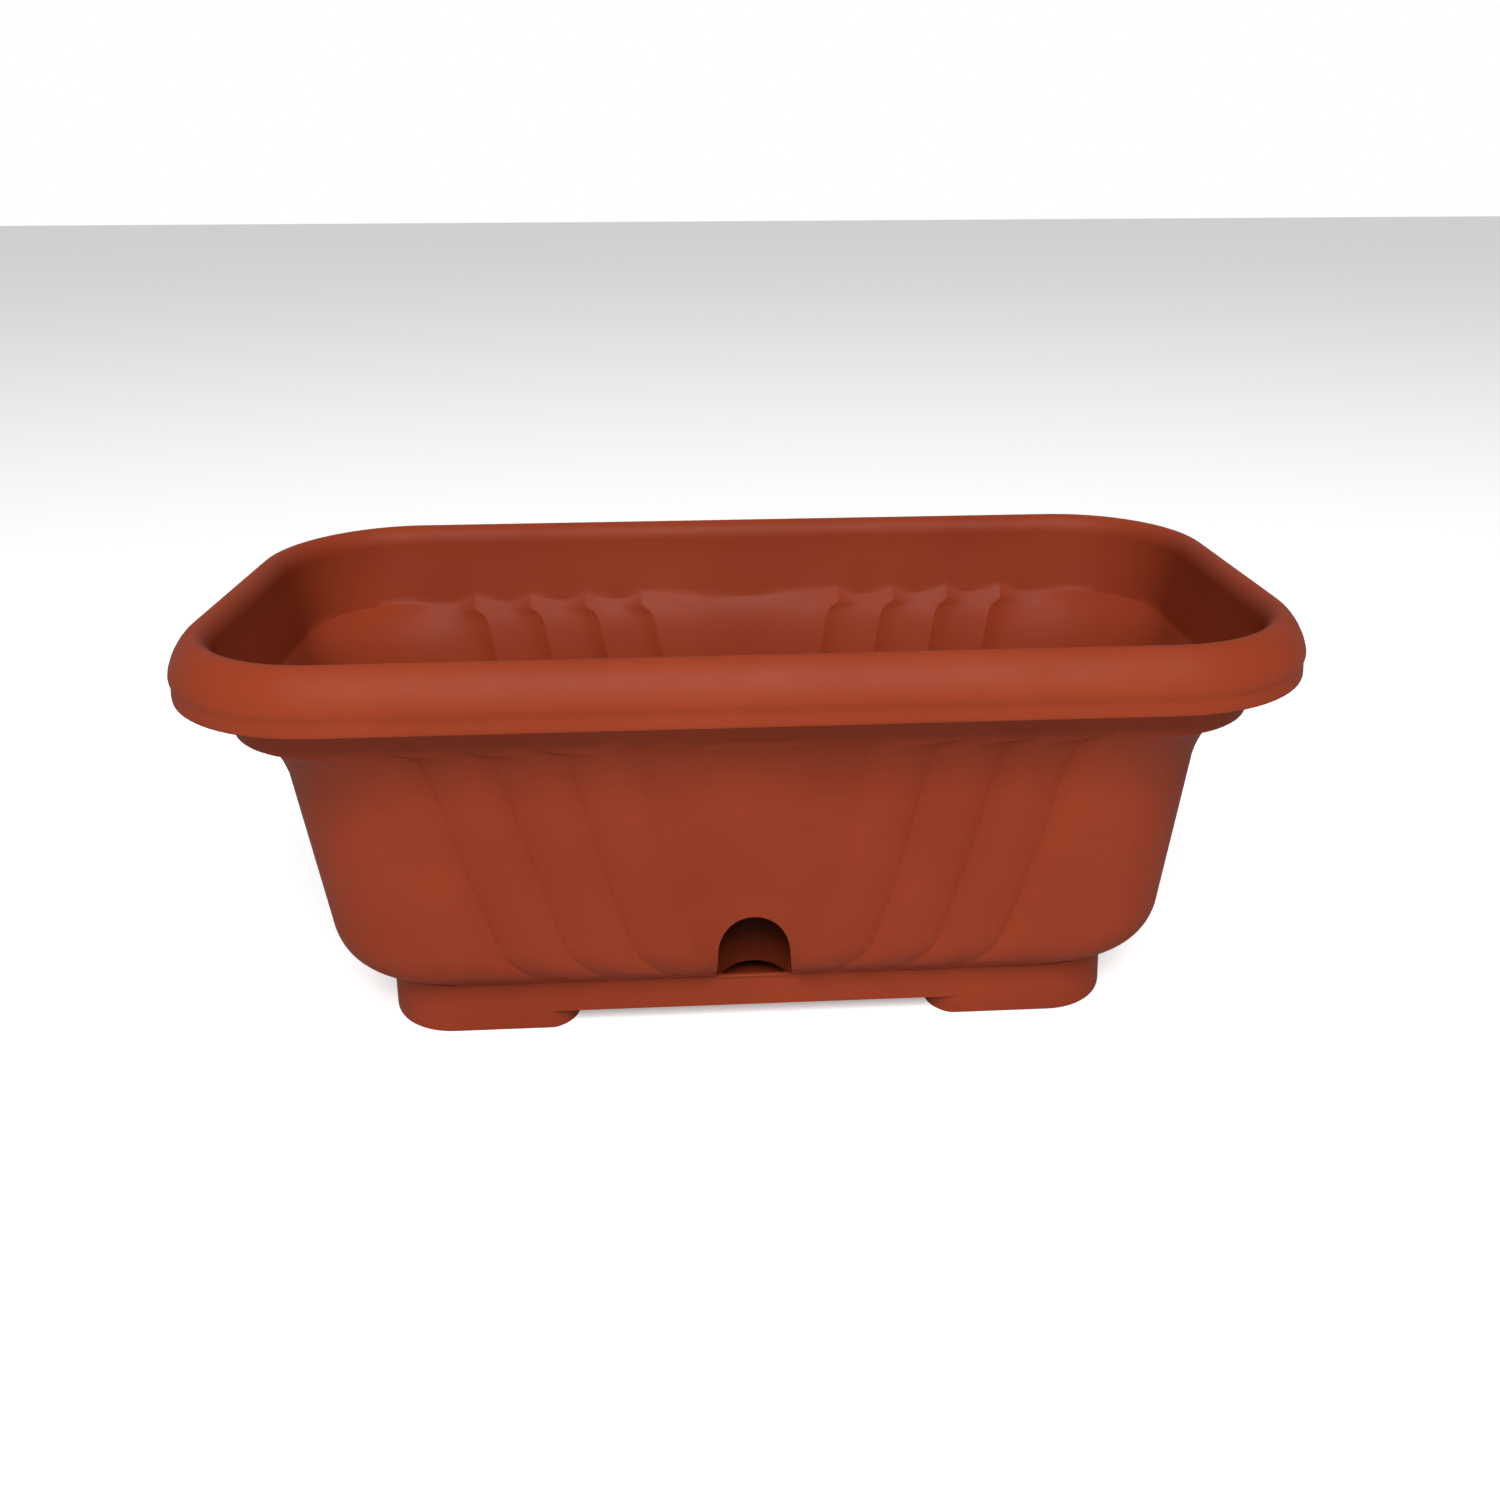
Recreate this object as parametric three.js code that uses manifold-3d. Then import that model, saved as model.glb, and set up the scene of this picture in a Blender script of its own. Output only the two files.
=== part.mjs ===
// Self watering planter: a fluted trough that stands on a stepped water tray, with two perforated
// soil cups that hang through the trough's floor into the water.
// Millimetres, +Z up. X runs along the planter, -Y is the front with the fill port, and the origin is
// on the ground under the middle of the planter.
import * as THREE from "three";
import { mergeVertices } from "three/addons/utils/BufferGeometryUtils.js";
import Module from "manifold-3d";

const wasm = await Module();
wasm.setup();

// ---- Driving dimensions ----
const HALF_LENGTH = 200;
const HALF_WIDTH = 100;
const HEIGHT = 172;
const WALL = 2.2;
const GAP = 0.3; // free space where two pieces rest on each other

// Rolled rim, measured inwards from the plan outline
const RIM_RADIUS = 60.8; // corner radius of the plan outline
const RIM_BOTTOM_Z = 150.8;
const RIM_WAIST_Z = 155.5; // shallow waist between the bottom edge and the crown
const RIM_WAIST = 0.6;
const RIM_SPRING_Z = 158.5; // widest line of the crown
const CROWN_INSET = 9.5; // highest line of the rim
const CROWN_POWER = 1.4; // roundness of the crown's outer side
const CROWN_WALL = 3; // thickness at the top of the crown
const ROOF_INSIDE = 11; // the roof of the hollow lies between these two insets
const ROOF_OUTSIDE = 7;
const ROOF_FALL = 0.5; // from the inner to the outer edge of the roof
const ROOF_FOOT_INSET = 2.8; // the roof meets the outer wall here
const ROOF_FOOT_Z = 160.5;
const BAND_TOP_Z = 163.4; // inside, where the crown runs into the straight band
const BAND_TOP_INSET = 15.2;
const BAND_FOOT_INSET = 19.4;

// Neck, flared shoulder, tapered wall and rounded bottom: outer faces
const NECK_Z = 136;
const NECK_RADIUS = 44;
const FLARE_POWER = 2.3; // the corners of the flare tighten mostly near the neck
const WALL_TOP_Z = 111.5;
const WALL_TOP_INSET = 25.6;
const WALL_TOP_RADIUS = 59.8;
const WALL_FOOT_Z = 46.7;
const WALL_FOOT_INSET = 35.4;
const WALL_FOOT_RADIUS = 38.9;
const BELLY_Z = 31; // the tangents of the wall and of the bottom curve meet here
const SHOULDER_Z = 131; // the tangents of the wall and of the flare meet here
const RING_Z = 25;
const RING_INSET = 50.5;
const RING_RADIUS = 35;

// Flutes
const GROOVES = 4; // on each half of the front and of the back
const GROOVE_FIRST = 21.3; // distance of the first groove from the middle, at the wall's foot
const GROOVE_PITCH = 24.6;
const GROOVE_LEAN = 0.205; // sideways run for each millimetre of height
const GROOVE_BOW = 1.1; // outward bow of a groove, half way up the wall
const GROOVE_HOOK = 9; // extra sideways run at the top of the shoulder
const GROOVE_HOOK_Z = 126;
const GROOVE_HOOK_POWER = 5;
const GROOVE_HOOK_INSIDE = 0.5; // share of that run on the inner face
const GROOVE_SWEEP = 14; // extra run towards the middle in the rounded bottom
const GROOVE_NEAREST = 16.5; // no groove comes nearer to the middle than this
const GROOVE_DEPTH = 2.7;
const GROOVE_WAVE = 2.1; // how far a groove's top rises above the neck line
const LOBE_CREST = 0.4; // crest of a lobe, as a share of the way outwards between two grooves
const LOBE_POWER = 0.9; // fullness of a lobe
const PANEL_RUNOUT = 10; // the end panel falls into the last groove over this width

// Floor and locating skirt under it
const FLOOR_TOP_Z = RING_Z + WALL;
const FLOOR_FILLET = 1; // the inner face meets the floor this far inside the ring's edge
const SKIRT_INSET = 55.3;
const SKIRT_BOTTOM_Z = 17.7;
const DRAIN_RADIUS = 3;
const DRAIN_X = [-62, -32, 32, 62];
const DRAIN_Y = [-26, 26];

// Fill and overflow port
const PORT_HALF_WIDTH = 15.1; // at the sill
const PORT_SPRING_HALF_WIDTH = 13.75; // where the oval top begins
const PORT_SPRING_Z = 41;
const PORT_TOP_Z = 60.7;
const PORT_REACH = 30; // the port's cores run this far to the front and back of POCKET_Y
const POCKET_Y = -53; // here the pocket's side walls begin to bow in
const POCKET_DEPTH = 18.2; // from there to the back of the pocket
const POCKET_BOTTOM_Z = 21;

// Water tray
const TRAY_TOP_Z = 22.7;
const TRAY_TOP_INSET = 52.1;
const TRAY_TOP_RADIUS = 34;
const TRAY_FOOT_INSET = 52.9;
const TRAY_FOOT_RADIUS = 27.4;
const TRAY_EDGE = 1.5; // round along the bottom edge
const FOOT_INNER_X = 71;
const FOOT_CORNER = 14;
const TRAY_STEP_Z = 8.5; // underside of the raised middle
const TRAY_CORNER_STEPS = 7;
const FOOT_CORNER_STEPS = 6;
const OPEN_TOP = 0.01; // a hollow reaches this far past the face that it opens

// Perforated soil cups
const CUP_X = 108;
const CUP_HOLE_RADIUS = 22.6;
const CUP_TOP_RADIUS = 22;
const CUP_FOOT_RADIUS = 18;
const CUP_FLANGE_RADIUS = 27;
const CUP_BOTTOM_Z = 5;
const CUP_WALL = 1.8;
const CUP_FLANGE = 2; // thickness of the flange that hangs on the tub's floor
const CUP_SLOTS = 8;
const CUP_SLOT_WIDTH = 3;
const CUP_SLOT_FOOT = 2; // solid height under the slots, above the cup's floor
const CUP_SLOT_HEAD = 5; // solid height over the slots, under the flange
const CUP_HOLES = 6; // in a circle round the middle one
const CUP_HOLE_CIRCLE = 10;
const CUP_DRAIN_RADIUS = 1.8;

const CORE_MARGIN = 4; // a core reaches this far past the faces that it cuts
const ROUND_SEGMENTS = 32;
const HOLE_SEGMENTS = 12;
const ARCH_SEGMENTS = 16;

const TERRACOTTA = 0x9a4529;
const TERRACOTTA_DARK = 0x8c3d24;

// ---- Solids ----

// A three.js geometry as a manifold solid, for joining and cutting.
function solidOf(geometry) {
  const bare = geometry.index ? geometry.toNonIndexed() : geometry.clone();
  bare.deleteAttribute("normal");
  bare.deleteAttribute("uv");
  const merged = mergeVertices(bare, 1e-4);
  const mesh = new wasm.Mesh({
    numProp: 3,
    vertProperties: new Float32Array(merged.attributes.position.array),
    triVerts: new Uint32Array(merged.index.array),
  });
  return new wasm.Manifold(mesh);
}

// A manifold solid back as a three.js geometry.
function geometryOf(solid) {
  const mesh = solid.getMesh();
  const geometry = new THREE.BufferGeometry();
  geometry.setAttribute("position", new THREE.BufferAttribute(mesh.vertProperties, 3));
  geometry.setIndex(new THREE.BufferAttribute(mesh.triVerts, 1));
  geometry.computeVertexNormals();
  return geometry;
}

// A closed skin through rings of equal count, lowest path point first, with a flat cap at each end.
function loft(rings) {
  const count = rings[0].length;
  const positions = [];
  const middle = (ring) => {
    const sum = ring.reduce((total, point) => total.add(point), new THREE.Vector3());
    return sum.divideScalar(count);
  };
  const put = (...points) => points.forEach((p) => positions.push(p.x, p.y, p.z));
  const first = rings[0];
  const last = rings[rings.length - 1];
  for (let j = 0; j < count; j++) {
    const k = (j + 1) % count;
    put(middle(first), first[k], first[j]);
    put(middle(last), last[j], last[k]);
    for (let i = 0; i + 1 < rings.length; i++) {
      put(rings[i][j], rings[i][k], rings[i + 1][k]);
      put(rings[i][j], rings[i + 1][k], rings[i + 1][j]);
    }
  }
  const geometry = new THREE.BufferGeometry();
  geometry.setAttribute("position", new THREE.Float32BufferAttribute(positions, 3));
  return solidOf(geometry);
}

// A flat outline in X and Y pushed up from one height to another.
function column(shape, bottom, top, curveSegments = 12) {
  const geometry = new THREE.ExtrudeGeometry(shape, {
    depth: top - bottom,
    bevelEnabled: false,
    curveSegments,
  });
  return solidOf(geometry.translate(0, 0, bottom));
}

function cylinder(radius, bottom, top, x, y, segments) {
  const geometry = new THREE.CylinderGeometry(radius, radius, top - bottom, segments);
  geometry.rotateX(Math.PI / 2);
  return solidOf(geometry.translate(x, y, (top + bottom) / 2));
}

const mix = (a, b, t) => a + (b - a) * t;
const clamp01 = (t) => Math.min(1, Math.max(0, t));
const ease = (t) => t * t * (3 - 2 * t);

// ---- Tub ----

// Distance of each groove from the middle of the front at a height. side is 0 on the outer face and
// 1 on the inner face.
function grooveLines(z, side) {
  const lean = GROOVE_LEAN * (Math.min(Math.max(z, RING_Z), NECK_Z) - WALL_FOOT_Z);
  const climb = clamp01((z - WALL_FOOT_Z) / (WALL_TOP_Z - WALL_FOOT_Z));
  const bow = GROOVE_BOW * 4 * climb * (1 - climb);
  const shoulder = clamp01((z - GROOVE_HOOK_Z) / (NECK_Z - GROOVE_HOOK_Z));
  const hook = GROOVE_HOOK * mix(1, GROOVE_HOOK_INSIDE, side) * shoulder ** GROOVE_HOOK_POWER;
  const sweep = GROOVE_SWEEP * clamp01((WALL_FOOT_Z - z) / (WALL_FOOT_Z - RING_Z)) ** 2;
  const shift = lean + bow + hook - sweep;
  return Array.from({ length: GROOVES }, (_, k) =>
    Math.max(GROOVE_FIRST + GROOVE_PITCH * k + shift, GROOVE_NEAREST),
  );
}

// 1 in the bottom of a groove and 0 on a crest or on the plain panels.
function grooveShare(distance, lines) {
  const last = lines[GROOVES - 1];
  const flank = (w) => 1 - Math.sin((clamp01(w) * Math.PI) / 2) ** LOBE_POWER;
  if (distance <= lines[0]) return ease(distance / lines[0]);
  if (distance >= last) return flank((distance - last) / PANEL_RUNOUT);
  const k = lines.findIndex((line) => line > distance) - 1;
  const u = (distance - lines[k]) / (lines[k + 1] - lines[k]);
  return flank(u < LOBE_CREST ? u / LOBE_CREST : (1 - u) / (1 - LOBE_CREST));
}

// The columns of the mesh follow the grooves, so that each groove is a true crease. They are given
// as shares of the middle panel, of each lobe and of the end panel's run-out.
const PANEL_COLUMNS = [0, 0.35, 0.65, 1];
const LOBE_COLUMNS = [0.2, 0.6, 1];
const RUNOUT_COLUMNS = [0.4, 1];
const CORNER_STEPS = 6;
const COLUMN_GAP = 2.5; // least distance between columns beyond the last groove
function columnDistances(level) {
  const lines = grooveLines(level.z, level.side ?? 0);
  const straight = HALF_LENGTH - level.inset - level.radius;
  const arc = (level.radius * Math.PI) / 2;
  const end = straight + arc + HALF_WIDTH - level.inset - level.radius;
  const distances = PANEL_COLUMNS.map((u) => lines[0] * u);
  for (let k = 0; k + 1 < GROOVES; k++)
    LOBE_COLUMNS.forEach((u) => distances.push(mix(lines[k], lines[k + 1], u)));
  const last = lines[GROOVES - 1];
  RUNOUT_COLUMNS.forEach((u) => distances.push(last + PANEL_RUNOUT * u));
  for (let k = 0; k <= CORNER_STEPS; k++) {
    const clear = last + PANEL_RUNOUT + COLUMN_GAP * (k + 1);
    distances.push(Math.max(straight + (arc * k) / CORNER_STEPS, clear));
  }
  distances.push(end);
  return { distances, lines, straight, arc };
}

// A point of a quarter of the outline, at a distance along it from the middle of the long side.
function quarterPoint(level, distance, plan) {
  const { straight, arc, lines } = plan;
  const share = level.flute ? grooveShare(distance, lines) : 0;
  const inset = level.inset + (level.flute ? level.flute[0] * share : 0);
  const z = level.z + (level.flute ? level.flute[1] * share : 0);
  const radius = level.radius - (inset - level.inset);
  const turn = clamp01((distance - straight) / arc) * (Math.PI / 2);
  const beyond = Math.max(0, distance - straight - arc);
  const x = Math.min(distance, straight) + radius * Math.sin(turn);
  const y = HALF_WIDTH - level.inset - level.radius + radius * Math.cos(turn) - beyond;
  return new THREE.Vector3(x, y, z);
}

// One closed ring, anticlockwise seen from above, starting at the middle of the front.
function ring(level) {
  const plan = columnDistances(level);
  const quarter = plan.distances.map((distance) => quarterPoint(level, distance, plan));
  const flip = (sx, sy) => quarter.map((p) => new THREE.Vector3(p.x * sx, p.y * sy, p.z));
  return [
    ...flip(1, -1).slice(0, -1),
    ...flip(1, 1).reverse().slice(0, -1),
    ...flip(-1, 1).slice(0, -1),
    ...flip(-1, -1).reverse().slice(0, -1),
  ];
}

// Samples a quadratic curve in (inset, height), with corner radius and groove depth along it.
// side 0 is the outer face and side 1 is the inner face, one wall thickness further in. The corner
// radius changes along the curve with the given power.
function curveLevels(from, control, to, steps, side, power = 1) {
  const levels = [];
  for (const t of steps) {
    const inset = mix(mix(from.inset, control.inset, t), mix(control.inset, to.inset, t), t);
    const z = mix(mix(from.z, control.z, t), mix(control.z, to.z, t), t);
    const run = mix(control.inset - from.inset, to.inset - control.inset, t);
    const rise = mix(control.z - from.z, to.z - control.z, t);
    const length = Math.hypot(run, rise);
    const inward = [rise / length, -run / length];
    const depth = mix(from.depth, to.depth, t);
    const radius = mix(from.radius, to.radius, t ** power);
    levels.push({
      inset: inset + side * WALL * inward[0],
      z: z + side * WALL * inward[1],
      radius: radius - side * WALL * inward[0],
      flute: [depth * inward[0], depth * inward[1]],
      side,
    });
  }
  return levels;
}

const NECK_DEPTH_SHARE = 0.6; // depth left in a groove at the neck
const BELLY_STEPS = [0.3, 0.6, 1];
const SHOULDER_STEPS = [0, 0.4, 0.75];
const LEDGE_RISE = 3.9; // the neck line is this much higher on the inside
const LEDGE_LIFT = 2.8; // the flare is this much steeper on the inside

const wallSlope = (WALL_FOOT_INSET - WALL_TOP_INSET) / (WALL_TOP_Z - WALL_FOOT_Z);
const bottomEnd = { inset: RING_INSET, z: RING_Z, radius: RING_RADIUS, depth: 0 };
const belly = { inset: WALL_FOOT_INSET + wallSlope * (WALL_FOOT_Z - BELLY_Z), z: BELLY_Z };
const wallFoot = {
  inset: WALL_FOOT_INSET,
  z: WALL_FOOT_Z,
  radius: WALL_FOOT_RADIUS,
  depth: GROOVE_DEPTH,
};
const wallTop = {
  inset: WALL_TOP_INSET,
  z: WALL_TOP_Z,
  radius: WALL_TOP_RADIUS,
  depth: GROOVE_DEPTH,
};
const shoulder = { inset: WALL_TOP_INSET - wallSlope * (SHOULDER_Z - WALL_TOP_Z), z: SHOULDER_Z };
const neck = (side) => ({
  inset: BAND_FOOT_INSET - WALL,
  z: NECK_Z + side * LEDGE_LIFT,
  radius: NECK_RADIUS,
  depth: GROOVE_DEPTH * NECK_DEPTH_SHARE,
});

// The fluted wall from the floor ring to just under the neck.
function wallLevels(side) {
  return [
    ...curveLevels(bottomEnd, belly, wallFoot, BELLY_STEPS, side),
    ...curveLevels(wallTop, shoulder, neck(side), SHOULDER_STEPS, side, FLARE_POWER),
  ];
}

// The neck line, where the fluted flare meets the plain neck in a wave.
const neckLine = (side) => ({
  inset: BAND_FOOT_INSET - (1 - side) * WALL,
  z: NECK_Z + side * LEDGE_RISE,
  radius: NECK_RADIUS - side * WALL,
  flute: [0, GROOVE_WAVE],
  side,
});

const CROWN_STEPS = 5;
const BEND_STEPS = 3;

// A plain level whose corners stay parallel to the rim's outline.
const plain = (inset, z) => ({ inset, z, radius: RIM_RADIUS - inset });

// The hollow roll of the rim: up inside it, down its outer wall, round its bottom edge, over the
// crown and down to the band.
function rimLevels() {
  const rise = HEIGHT - RIM_SPRING_Z;
  const roofZ = HEIGHT - CROWN_WALL;
  const levels = [
    plain(BAND_TOP_INSET - WALL, BAND_TOP_Z),
    plain(ROOF_INSIDE, roofZ),
    plain(ROOF_OUTSIDE, roofZ - ROOF_FALL),
    plain(ROOF_FOOT_INSET, ROOF_FOOT_Z),
    plain(WALL, RIM_BOTTOM_Z),
    plain(0, RIM_BOTTOM_Z),
    plain(RIM_WAIST, RIM_WAIST_Z),
    plain(0, RIM_SPRING_Z),
  ];
  for (let k = 1; k <= CROWN_STEPS; k++) {
    const turn = (k / CROWN_STEPS) * (Math.PI / 2);
    const inset = CROWN_INSET * (1 - Math.cos(turn) ** CROWN_POWER);
    levels.push(plain(inset, RIM_SPRING_Z + rise * Math.sin(turn) ** CROWN_POWER));
  }
  const fall = HEIGHT - BAND_TOP_Z;
  for (let k = 1; k <= BEND_STEPS; k++) {
    const turn = (k / BEND_STEPS) * (Math.PI / 2);
    const inset = CROWN_INSET + (BAND_TOP_INSET - CROWN_INSET) * Math.sin(turn);
    levels.push(plain(inset, HEIGHT - fall * (1 - Math.cos(turn))));
  }
  return levels;
}

// A plain level whose corners stay parallel to the floor ring's outline.
const step = (inset, z) => ({ inset, z, radius: RING_RADIUS - (inset - RING_INSET) });
const REST_Z = TRAY_TOP_Z + GAP; // underside of the ring that rests on the tray

// The stepped underside, from the floor out over the skirt to the ring that rests on the tray.
function undersideLevels() {
  return [
    step(SKIRT_INSET + WALL, RING_Z),
    step(SKIRT_INSET + WALL, SKIRT_BOTTOM_Z),
    step(SKIRT_INSET, SKIRT_BOTTOM_Z),
    step(SKIRT_INSET, REST_Z),
    step(RING_INSET, REST_Z),
    step(RING_INSET, RING_Z),
  ];
}

function tubShell() {
  const levels = [
    ...undersideLevels(),
    ...wallLevels(0),
    neckLine(0),
    ...rimLevels(),
    neckLine(1),
    ...wallLevels(1).reverse(),
    step(RING_INSET + FLOOR_FILLET, FLOOR_TOP_Z),
  ];
  return loft(levels.map(ring));
}

// Everything inside the middle of the tub's wall thickness, up to the top of the plain wall.
function tubEnvelope() {
  const half = WALL / 2;
  const levels = [
    step(SKIRT_INSET + half, SKIRT_BOTTOM_Z),
    step(SKIRT_INSET + half, REST_Z + half),
    step(RING_INSET + half, REST_Z + half),
    step(RING_INSET + half, RING_Z),
    ...wallLevels(0.5).slice(0, BELLY_STEPS.length + 1),
  ];
  return loft(levels.map(ring));
}

// Arch that runs front to back, grown by an offset on all sides.
function archPrism(offset) {
  const sill = PORT_HALF_WIDTH + offset;
  const across = PORT_SPRING_HALF_WIDTH + offset;
  const rise = PORT_TOP_Z - PORT_SPRING_Z + offset;
  const bottomZ = SKIRT_BOTTOM_Z - CORE_MARGIN;
  const shape = new THREE.Shape();
  shape.moveTo(-sill, bottomZ);
  shape.lineTo(sill, bottomZ);
  shape.lineTo(sill, TRAY_TOP_Z);
  shape.lineTo(across, PORT_SPRING_Z);
  shape.absellipse(0, PORT_SPRING_Z, across, rise, 0, Math.PI, false, 0);
  shape.lineTo(-sill, TRAY_TOP_Z);
  const geometry = new THREE.ExtrudeGeometry(shape, {
    depth: 2 * PORT_REACH,
    bevelEnabled: false,
    curveSegments: ARCH_SEGMENTS,
  });
  return solidOf(geometry.rotateX(Math.PI / 2).translate(0, POCKET_Y + PORT_REACH, 0));
}

// Upright block as wide as the sill, with a half-oval back, which is open in front.
function pocketBlock(offset, bottom, top) {
  const sill = PORT_HALF_WIDTH + offset;
  const front = POCKET_Y - PORT_REACH;
  const shape = new THREE.Shape();
  shape.moveTo(-sill, front);
  shape.lineTo(sill, front);
  shape.lineTo(sill, POCKET_Y);
  shape.absellipse(0, POCKET_Y, sill, POCKET_DEPTH + offset, 0, Math.PI, false, 0);
  return column(shape, bottom, top, ARCH_SEGMENTS);
}

function tub() {
  const top = PORT_TOP_Z + CORE_MARGIN;
  const hollowZ = SKIRT_BOTTOM_Z - CORE_MARGIN / 2;
  const pocketWall = pocketBlock(WALL, POCKET_BOTTOM_Z, top).intersect(archPrism(WALL));
  const pocketHollow = pocketBlock(0, hollowZ, top).intersect(archPrism(0));
  let body = tubShell().add(pocketWall.intersect(tubEnvelope())).subtract(pocketHollow);
  const floorHole = (radius, x, y, segments) =>
    cylinder(radius, RING_Z - CORE_MARGIN, FLOOR_TOP_Z + CORE_MARGIN, x, y, segments);
  for (const x of [-CUP_X, CUP_X])
    body = body.subtract(floorHole(CUP_HOLE_RADIUS, x, 0, ROUND_SEGMENTS));
  for (const x of DRAIN_X)
    for (const y of DRAIN_Y) body = body.subtract(floorHole(DRAIN_RADIUS, x, y, HOLE_SEGMENTS));
  return geometryOf(body);
}

// ---- Water tray ----

// A rounded rectangle, anticlockwise from above, as a ring of points.
function trayRing(inset, radius, z) {
  const points = [];
  const centreX = HALF_LENGTH - inset - radius;
  const centreY = HALF_WIDTH - inset - radius;
  for (let quadrant = 0; quadrant < 4; quadrant++) {
    const sx = quadrant === 0 || quadrant === 3 ? 1 : -1;
    const sy = quadrant < 2 ? 1 : -1;
    for (let k = 0; k <= TRAY_CORNER_STEPS; k++) {
      const turn = (quadrant + k / TRAY_CORNER_STEPS) * (Math.PI / 2);
      const x = sx * centreX + radius * Math.cos(turn);
      points.push(new THREE.Vector3(x, sy * centreY + radius * Math.sin(turn), z));
    }
  }
  return points;
}

function trayBody() {
  const soft = TRAY_EDGE * (1 - Math.SQRT1_2);
  return loft([
    trayRing(TRAY_FOOT_INSET + TRAY_EDGE, TRAY_FOOT_RADIUS - TRAY_EDGE, 0),
    trayRing(TRAY_FOOT_INSET + soft, TRAY_FOOT_RADIUS - soft, soft),
    trayRing(TRAY_FOOT_INSET, TRAY_FOOT_RADIUS, TRAY_EDGE),
    trayRing(TRAY_TOP_INSET, TRAY_TOP_RADIUS, TRAY_TOP_Z),
  ]);
}

// The water space above the raised middle.
function trayUpperHollow() {
  const floorZ = TRAY_STEP_Z + WALL;
  const share = floorZ / TRAY_TOP_Z;
  const floorInset = mix(TRAY_FOOT_INSET, TRAY_TOP_INSET, share) + WALL;
  const floorRadius = mix(TRAY_FOOT_RADIUS, TRAY_TOP_RADIUS, share) - WALL;
  return loft([
    trayRing(floorInset, floorRadius, floorZ),
    trayRing(TRAY_TOP_INSET + WALL, TRAY_TOP_RADIUS - WALL, TRAY_TOP_Z + OPEN_TOP),
  ]);
}

// Plan of one foot, on the right: a round corner on each side of its inner end, straight to endX.
function footPlan(innerX, endX, halfWidth, corner) {
  const shape = new THREE.Shape();
  shape.moveTo(endX, -halfWidth);
  shape.lineTo(endX, halfWidth);
  shape.lineTo(innerX + corner, halfWidth);
  shape.absarc(innerX + corner, halfWidth - corner, corner, Math.PI / 2, Math.PI, false);
  shape.absarc(innerX + corner, corner - halfWidth, corner, Math.PI, 1.5 * Math.PI, false);
  return shape;
}

// The deep part of the water space over one foot; side is 1 on the right and -1 on the left.
function trayWell(side) {
  const halfWidth = HALF_WIDTH - TRAY_FOOT_INSET - WALL;
  const endX = HALF_LENGTH - TRAY_FOOT_INSET - WALL;
  const top = TRAY_STEP_Z + WALL + CORE_MARGIN / 4;
  const plan = footPlan(FOOT_INNER_X + WALL, endX + CORE_MARGIN, halfWidth, FOOT_CORNER - WALL);
  const block = column(plan, WALL, top, FOOT_CORNER_STEPS);
  const wall = loft([
    trayRing(TRAY_FOOT_INSET + WALL, TRAY_FOOT_RADIUS - WALL, 0),
    trayRing(TRAY_FOOT_INSET + WALL, TRAY_FOOT_RADIUS - WALL, top + CORE_MARGIN),
  ]);
  return block.rotate([0, 0, side > 0 ? 0 : 180]).intersect(wall);
}

// The space between the feet, under the raised middle.
function trayArchway() {
  const reach = FOOT_INNER_X + FOOT_CORNER;
  const clearY = HALF_WIDTH;
  const slab = new THREE.Shape();
  slab.moveTo(-reach, -clearY);
  slab.lineTo(reach, -clearY);
  slab.lineTo(reach, clearY);
  slab.lineTo(-reach, clearY);
  const halfWidth = HALF_WIDTH - TRAY_TOP_INSET;
  const plan = footPlan(FOOT_INNER_X, reach + CORE_MARGIN, halfWidth, FOOT_CORNER);
  const low = -CORE_MARGIN;
  const foot = column(plan, 2 * low, TRAY_STEP_Z + CORE_MARGIN, FOOT_CORNER_STEPS);
  return column(slab, low, TRAY_STEP_Z).subtract(foot).subtract(foot.rotate([0, 0, 180]));
}

function tray() {
  const body = trayBody()
    .subtract(trayUpperHollow())
    .subtract(trayWell(1))
    .subtract(trayWell(-1))
    .subtract(trayArchway());
  return geometryOf(body);
}

// ---- Soil cups ----

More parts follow.
